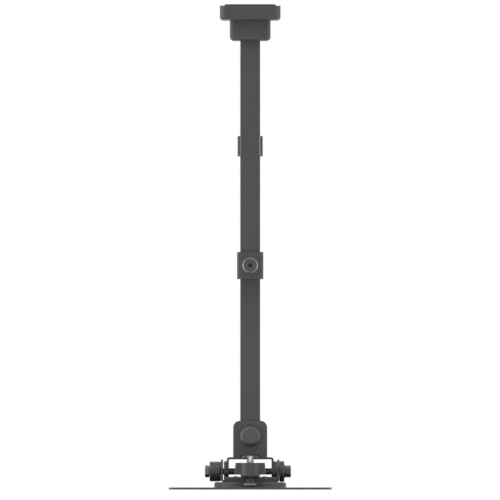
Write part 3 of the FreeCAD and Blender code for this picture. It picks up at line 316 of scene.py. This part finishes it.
# %% [markdown]
# ## Softened edges
# Real sheet metal has a small roll at its cut edges, coated steel has a thicker one, and turned or moulded
# pieces have a tiny chamfer. Those edges are what catches the light. The solids have sharp edges where the roll
# is under a millimetre, so each piece that shows gets a copy of its own mesh: the loose triangles are welded,
# flat areas are joined to single faces, and a Bevel modifier rolls every edge that turns by more than a set
# angle. Smooth shading alone would bend the light on the large flat faces, so a Weighted Normal modifier lets
# those decide their own.

# %% Helpers that roll the edges of a piece
same_point = 0.002 * mm
same_flat = math.radians(0.4)
sharp_turn = math.radians(28)
roll_steps = 2


def keep_piece(made, name):
    """Give a finished copy its node's body and place, and hide the node."""
    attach(made, body_of[name])
    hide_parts(name)
    return made


def plain_copy(source, name):
    """A plain mesh object of a modified one, with nothing live left on it."""
    evaluated = source.evaluated_get(bpy.context.evaluated_depsgraph_get())
    mesh = bpy.data.meshes.new_from_object(evaluated)
    mesh.name = name
    bpy.data.objects.remove(source)
    made = bpy.data.objects.new(name, mesh)
    scene.collection.objects.link(made)
    return made


def welded(name):
    """A closed copy of a node's mesh, with its flat areas joined."""
    mesh = bpy.data.meshes.new(name + "_welded")
    shape = bmesh.new()
    shape.from_mesh(nodes[name].data)
    bmesh.ops.remove_doubles(shape, verts=shape.verts, dist=same_point)
    bmesh.ops.dissolve_limit(shape, angle_limit=same_flat, verts=shape.verts, edges=shape.edges)
    for face in shape.faces:
        face.smooth = True
    shape.to_mesh(mesh)
    shape.free()
    return mesh


def rolled(name, roll):
    """A copy of a node whose sharp edges are rolled by a radius in metres."""
    source = bpy.data.objects.new(name + "_rolled", welded(name))
    scene.collection.objects.link(source)
    bevel = source.modifiers.new("roll", "BEVEL")
    bevel.width = roll
    bevel.segments = roll_steps
    bevel.limit_method = "ANGLE"
    bevel.angle_limit = sharp_turn
    flat = source.modifiers.new("flat", "WEIGHTED_NORMAL")
    flat.weight = 100        # at 50 all faces count alike, at 100 the large ones count most
    bpy.context.view_layer.update()
    made = plain_copy(source, name + "_piece")
    made.data.materials.clear()
    made.data.materials.append(node_finish[name])
    return made


# %% Roll the edges of the pieces that show
rolls = {        # in millimetres
    "ceiling_plate": 0.4, "ceiling_cover": 0.3, "upper_tube": 0.2, "lower_tube": 0.2, "collar": 0.5,
    "clamp_washer": 0.25, "clamp_screw": 0.25, "guide_clip": 0.35, "yoke": 0.35, "front_cap": 0.3,
    "rear_cap": 0.3, "axle_bolt": 0.2, "axle_washer": 0.2, "stop_nut": 0.2, "left_spacer": 0.3,
    "right_spacer": 0.3, "clamp_disc": 0.25, "tilt_bracket": 0.35, "projector_plate": 0.35,
    "swivel_foot": 0.3, "wing_knob": 0.4, "clamp_knob": 0.3, "plate_nuts": 0.2,
}
pieces = {}
for name, roll in rolls.items():
    pieces[name] = keep_piece(rolled(name, roll * mm), name)
    print(f"{name}: {len(pieces[name].data.polygons)} faces, edges rolled by {roll} mm")

# %% [markdown]
# ## Painted highlight, painted shade and turned faces
# Two pieces show more than one finish. The clip's lips slide along the tube, and their sloping faces get a
# lighter
# grey: a painted highlight, for the light they catch from the side panels. The clamp screw was blackened and
# then turned on its rim, which leaves a bright ring round a black face; its socket gets a near-black that paints
# the shade in its depth. A second texture could paint these, but the faces are there already, so they are picked
# by where they lie and which way they look, and get a finish of their own.

# %% A helper that gives some faces another finish
margin = 0.1 * mm        # round a measured place, so that rounding doesn't put a face on the wrong side of it


def repaint(made, paint, picks):
    """Give the faces that picks(centre, normal) accepts, in metres, another finish."""
    made.data.materials.append(paint)
    chosen = [face for face in made.data.polygons if picks(face.center, face.normal)]
    for face in chosen:
        face.material_index = len(made.data.materials) - 1
    print(f"{made.name}: {len(chosen)} faces of {paint.name}")


# %% The clip's lips
clip_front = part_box("guide_clip")[0].y
tube_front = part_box("upper_tube")[0].y
lip_slope = 0.3


def on_lip(centre, normal):
    """A sloping face of a lip: in front of the tube, and turned forwards and to the middle."""
    in_front = clip_front - margin < centre.y < tube_front
    sloping = normal.y < -lip_slope and abs(normal.x) > lip_slope
    return in_front and sloping and normal.x * centre.x < 0


# The lips' sloping faces get the lighter grey of the painted highlight.
repaint(pieces["guide_clip"], lip_painted_highlight, on_lip)

# %% The clamp screw's rim and socket
screw_low, screw_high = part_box("clamp_screw")
screw_axis = (screw_low + screw_high) / 2
head_radius = (screw_high.x - screw_low.x) / 2
rim_width = 2.4 * mm
rim_steepest, rim_flattest = -0.15, -0.98        # how far a face of the rim may look forwards
socket_reach = 3.4 * mm


def off_axis(centre):
    """How far a point is from the clamp screw's axis."""
    return math.hypot(centre.x - screw_axis.x, centre.z - screw_axis.z)


def on_rim(centre, normal):
    """A sloping face near the edge of the head."""
    return off_axis(centre) > head_radius - rim_width and rim_flattest < normal.y < rim_steepest


def in_socket(centre, normal):
    """A face behind the head's front, near the axis."""
    return off_axis(centre) < socket_reach and centre.y > screw_low.y + margin


repaint(pieces["clamp_screw"], turned_steel, on_rim)
# The socket's faces get the near-black of the painted shade.
repaint(pieces["clamp_screw"], socket_painted_shade, in_socket)

# %% [markdown]
# ## Rules written as node trees
# Threads, screw recesses and weld beads repeat one small shape by a rule, which is what Geometry Nodes are for.
# Three more helpers do what all the trees have in common: one makes a tree with named inputs, one ends it with
# its finish, and one runs it and keeps the result as a plain mesh. Inputs are set by their identifiers, because
# two sockets of a tree may share a name.

# %% Helpers for Geometry Nodes
def new_tree(name, inputs):
    """An empty tree with a mesh input, a mesh output and named inputs. Gives the tree and its two ends."""
    tree = bpy.data.node_groups.new(name, "GeometryNodeTree")
    tree.interface.new_socket("Mesh", in_out="INPUT", socket_type="NodeSocketGeometry")
    tree.interface.new_socket("Mesh", in_out="OUTPUT", socket_type="NodeSocketGeometry")
    for label, kind in inputs.items():
        tree.interface.new_socket(label, in_out="INPUT", socket_type="NodeSocket" + kind)
    given = tree.nodes.new("NodeGroupInput").outputs
    return tree, given, tree.nodes.new("NodeGroupOutput").inputs["Mesh"]


def close_tree(tree, mesh, paint, end):
    """Realize what a tree has made, give it its finish and send it to the tree's end. Gives the tree."""
    real = add(tree, "GeometryNodeRealizeInstances", {"Geometry": mesh})
    painted = add(tree, "GeometryNodeSetMaterial", {"Geometry": real, "Material": paint})
    tree.links.new(painted, end)
    print(f"{tree.name} tree: {len(tree.nodes)} nodes")
    return tree


def run_tree(tree, mesh, name, values):
    """Run a tree on a mesh and keep the result as a plain piece."""
    source = bpy.data.objects.new(name + "_source", mesh)
    scene.collection.objects.link(source)
    modifier = source.modifiers.new(tree.name, "NODES")
    modifier.node_group = tree
    for socket in tree.interface.items_tree:
        if socket.in_out == "INPUT" and socket.name in values:
            modifier[socket.identifier] = values[socket.name]
    bpy.context.view_layer.update()
    return plain_copy(source, name + "_piece")


# %% [markdown]
# ## The threaded stud
# The adjuster stud is a length of zinc-plated threaded rod. A thread could be a ridge swept along a helix, but
# that leaves two shells inside each other. Here the rod is one cylinder with many rings, and the rule moves each
# point in towards the axis by a wave that runs once round for every pitch: the crests stay on the solid's own
# radius.

# %% Thread tree
sides = 48
rings_per_pitch = 6
tree, given, end = new_tree("thread", {"Radius": "Float", "Length": "Float", "Pitch": "Float",
                                       "Depth": "Float", "Middle": "Vector", "Finish": "Material"})
turns = maths(tree, "DIVIDE", given["Length"], given["Pitch"])
rod = add(tree, "GeometryNodeMeshCylinder",
          {"Vertices": sides, "Side Segments": maths(tree, "MULTIPLY", turns, rings_per_pitch),
           "Radius": given["Radius"], "Depth": given["Length"]})
point = add(tree, "GeometryNodeInputPosition", {})
part = add(tree, "ShaderNodeSeparateXYZ", {0: point}).node.outputs
turn = maths(tree, "DIVIDE", maths(tree, "ARCTAN2", part["Y"], part["X"]), math.tau)
rise = maths(tree, "DIVIDE", part["Z"], given["Pitch"])
phase = maths(tree, "FRACT", maths(tree, "SUBTRACT", rise, turn))
# A wave with straight flanks: 1 where a phase starts, 0 half way through it.
wave = maths(tree, "ABSOLUTE", maths(tree, "SUBTRACT", maths(tree, "MULTIPLY", phase, 2.0), 1.0))
share = maths(tree, "DIVIDE", maths(tree, "MULTIPLY", wave, given["Depth"]), given["Radius"])
shrink = maths(tree, "SUBTRACT", 1.0, share)
factors = add(tree, "ShaderNodeCombineXYZ", {"X": shrink, "Y": shrink, "Z": 1.0})
moved = add(tree, "ShaderNodeVectorMath", {0: point, 1: factors}, operation="MULTIPLY")
threaded = add(tree, "GeometryNodeSetPosition", {"Geometry": rod, "Position": moved})
placed = add(tree, "GeometryNodeTransform", {"Geometry": threaded, "Translation": given["Middle"]})
thread_tree = close_tree(tree, placed, given["Finish"], end)

# %% Thread the stud
pitch = 1.25 * mm
thread_depth = 0.55 * mm
crest_turn = math.radians(50)
stud_low, stud_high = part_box("adjuster_stud")
stud = run_tree(thread_tree, bpy.data.meshes.new("stud_start"), "adjuster_stud", {
    "Radius": (stud_high.x - stud_low.x) / 2, "Length": stud_high.z - stud_low.z, "Pitch": pitch,
    "Depth": thread_depth, "Middle": (stud_low + stud_high) / 2, "Finish": node_finish["adjuster_stud"]})
stud.data.shade_smooth()
stud.data.set_sharp_from_angle(angle=crest_turn)
keep_piece(stud, "adjuster_stud")
print("adjuster_stud:", len(stud.data.polygons), "faces in one threaded rod")

# %% [markdown]
# ## Screw recesses
# The two clip screws and the four plate bolts are turned with a driver, so their heads need a recess. The heads
# are found in the frame, as the far ends of the separate solids of each node. A tree sets a cross-shaped cutter
# on every one of them and takes the cutters away from the screws. The two clip screws sit so close that their
# round heads would run into each other, so each has a flat where they meet, with a hair's breadth between the
# flats.

# %% Recess tree
long_height = 2.0        # in depths of the recess: a cutter's middle is at the head's face
wide_height = 1.8        # a little less, so that the two bars of the cross share no face
tree, given, end = new_tree("recess", {"Heads": "Object", "Span": "Float", "Width": "Float",
                                       "Depth": "Float", "Turn": "Vector", "Finish": "Material"})
long_size = add(tree, "ShaderNodeCombineXYZ", {"X": given["Span"], "Y": given["Width"],
                                               "Z": maths(tree, "MULTIPLY", given["Depth"], long_height)})
wide_size = add(tree, "ShaderNodeCombineXYZ", {"X": given["Width"], "Y": given["Span"],
                                               "Z": maths(tree, "MULTIPLY", given["Depth"], wide_height)})
cross = add(tree, "GeometryNodeMeshBoolean", {}, operation="UNION")
for size in (long_size, wide_size):
    tree.links.new(add(tree, "GeometryNodeMeshCube", {"Size": size}), cross.node.inputs["Mesh 2"])
heads = add(tree, "GeometryNodeObjectInfo", {"Object": given["Heads"]}, output="Geometry")
spots = add(tree, "GeometryNodeMeshToPoints", {"Mesh": heads})
cutters = add(tree, "GeometryNodeInstanceOnPoints",
              {"Points": spots, "Instance": cross, "Rotation": given["Turn"]})
apart = add(tree, "GeometryNodeRealizeInstances", {"Geometry": cutters})
cut = add(tree, "GeometryNodeMeshBoolean",
          {"Mesh 1": given["Mesh"], "Mesh 2": apart, "Self Intersection": True},
          operation="DIFFERENCE", solver="EXACT")
recess_tree = close_tree(tree, cut, given["Finish"], end)


# %% Helpers that find and part the screws
def loose_shells(shape):
    """The vertices of every separate shell of a bmesh, with the low and high corners of its box."""
    found = set()
    shells = []
    for start in shape.verts:
        if start in found:
            continue
        found.add(start)
        shell = [start]
        for vert in shell:
            for edge in vert.link_edges:
                other = edge.other_vert(vert)
                if other not in found:
                    found.add(other)
                    shell.append(other)
        low = Vector([min(vert.co[axis] for vert in shell) for axis in range(3)])
        high = Vector([max(vert.co[axis] for vert in shell) for axis in range(3)])
        shells.append((shell, low, high))
    return shells


def part_pair(shape, shells, gap):
    """Trim two shells to flats with a gap between them, half way from one to the other."""
    middles = [(low + high) / 2 for _, low, high in shells]
    halfway = (middles[0] + middles[1]) / 2
    for (shell, _, _), middle in zip(shells, middles):
        inwards = (halfway - middle).normalized()
        faces = dict.fromkeys(face for vert in shell for face in vert.link_faces)
        edges = dict.fromkeys(edge for vert in shell for edge in vert.link_edges)
        cut = bmesh.ops.bisect_plane(shape, geom=[*shell, *edges, *faces], clear_outer=True,
                                     plane_co=halfway - inwards * gap / 2, plane_no=inwards)
        rim = [made for made in cut["geom_cut"] if isinstance(made, bmesh.types.BMEdge)]
        bmesh.ops.holes_fill(shape, edges=rim)


# %% Cut the recesses
screw_roll = 0.2 * mm
recess_span = 4.6 * mm
recess_width = 1.1 * mm
recess_depth = 1.2 * mm
head_gap = 0.15 * mm
y_axis, z_axis = 1, 2
turn_to = {y_axis: (math.pi / 2, 0.0, 0.0), z_axis: (0.0, 0.0, 0.0)}


def cut_recesses(name, axis, outwards, gap=0.0):
    """Cut a cross recess into every head of a node. The heads look along axis, up or down it by outwards."""
    screws = rolled(name, screw_roll)
    screws.name = screws.data.name = name + "_uncut"
    shape = bmesh.new()
    shape.from_mesh(screws.data)
    shells = loose_shells(shape)
    spots = []
    for _, low, high in shells:
        spot = (low + high) / 2
        spot[axis] = (high if outwards > 0 else low)[axis]
        spots.append(spot)
    if gap:
        part_pair(shape, shells, gap)
    shape.to_mesh(screws.data)
    shape.free()
    heads_mesh = bpy.data.meshes.new(name + "_heads")
    heads_mesh.from_pydata(spots, [], [])
    heads_object = bpy.data.objects.new(name + "_heads", heads_mesh)
    scene.collection.objects.link(heads_object)
    made = run_tree(recess_tree, screws.data, name, {
        "Heads": heads_object, "Span": recess_span, "Width": recess_width, "Depth": recess_depth,
        "Turn": turn_to[axis], "Finish": node_finish[name]})
    bpy.data.objects.remove(heads_object)
    bpy.data.objects.remove(screws)
    made.data.set_sharp_from_angle(angle=sharp_turn)
    print(f"{name}: {len(spots)} heads with a recess, {len(made.data.polygons)} faces")
    keep_piece(made, name)


cut_recesses("clip_screws", y_axis, outwards=1, gap=head_gap)
cut_recesses("plate_bolts", z_axis, outwards=-1)

# %% [markdown]
# ## The weld round the tube socket
# The square socket is welded to the ceiling plate before both are coated. The cover hides the weld until it
# slides down. A weld bead is a row of small overlapping drops along a path, so a tree follows the foot of the
# socket, sets a drop at every step, varies the drops a little from a fixed seed, and coats the row like the
# plate.

# %% Weld tree
corner_points = 6
smallest_drop = 0.84        # as a share of the largest
tree, given, end = new_tree("weld", {"Width": "Float", "Corner": "Float", "Drop": "Float", "Step": "Float",
                                     "Height": "Float", "Seed": "Int", "Finish": "Material"})
outline = add(tree, "GeometryNodeCurvePrimitiveQuadrilateral",
              {"Width": given["Width"], "Height": given["Width"]})
rounded = add(tree, "GeometryNodeFilletCurve",
              {"Curve": outline, "Radius": given["Corner"], "Count": corner_points}, mode="POLY")
spots = add(tree, "GeometryNodeResampleCurve", {"Curve": rounded, "Length": given["Step"]}, mode="LENGTH")
drop = add(tree, "GeometryNodeMeshIcoSphere", {"Radius": given["Drop"], "Subdivisions": 2})
# Sockets 2 and 3, and output 1, are the ones for plain numbers.
varied = add(tree, "FunctionNodeRandomValue", {2: smallest_drop, 3: 1.0, "Seed": given["Seed"]},
             output=1, data_type="FLOAT")
drops = add(tree, "GeometryNodeInstanceOnPoints", {"Points": spots, "Instance": drop, "Scale": varied})
height = add(tree, "ShaderNodeCombineXYZ", {"Z": given["Height"]})
placed = add(tree, "GeometryNodeTransform", {"Geometry": drops, "Translation": height})
weld_tree = close_tree(tree, placed, given["Finish"], end)

# %% Lay the weld
drop_radius = 1.9 * mm
drop_step = 1.2 * mm
weld_seed = 5
upper_skin = 1.0 * mm        # less than the plate's thickness: what lies deeper isn't its upper face
plate_points = [vert.co for vert in nodes["ceiling_plate"].data.vertices]
plate_under = max(co.z for co in plate_points if co.z < -upper_skin)
socket_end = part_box("ceiling_plate")[0].z
socket_rim = [co for co in plate_points if co.z < socket_end + margin]
socket_half = max(co.x for co in socket_rim)
# A rounded corner cuts this much off the diagonal of a square one, which gives its radius.
corner_cut = 2 * socket_half - max(co.x + co.y for co in socket_rim)
socket_corner = corner_cut / (2 - math.sqrt(2))
weld = run_tree(weld_tree, bpy.data.meshes.new("weld_start"), "socket_weld", {
    "Width": 2 * socket_half, "Corner": socket_corner, "Drop": drop_radius, "Step": drop_step,
    "Height": plate_under, "Seed": weld_seed, "Finish": powder_coat})
weld.data.shade_smooth()
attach(weld, body_of["ceiling_plate"])
print(f"socket_weld: {len(weld.data.polygons)} faces round a socket {2 * socket_half / mm:.1f} mm wide, "
      f"{-plate_under / mm:.1f} mm below the ceiling")

# %% [markdown]
# ## Pieces that stay as they are
# The plugs, nuts, washers and bolts that hardly show keep the meshes of the frame. They only need their finish,
# in place of the plain one that the frame came with.

# %% Finish the pieces that stay as they are
for name, made in nodes.items():
    made.data.materials.clear()
    made.data.materials.append(node_finish[name])
print(len(nodes), "nodes of the frame have their finish")
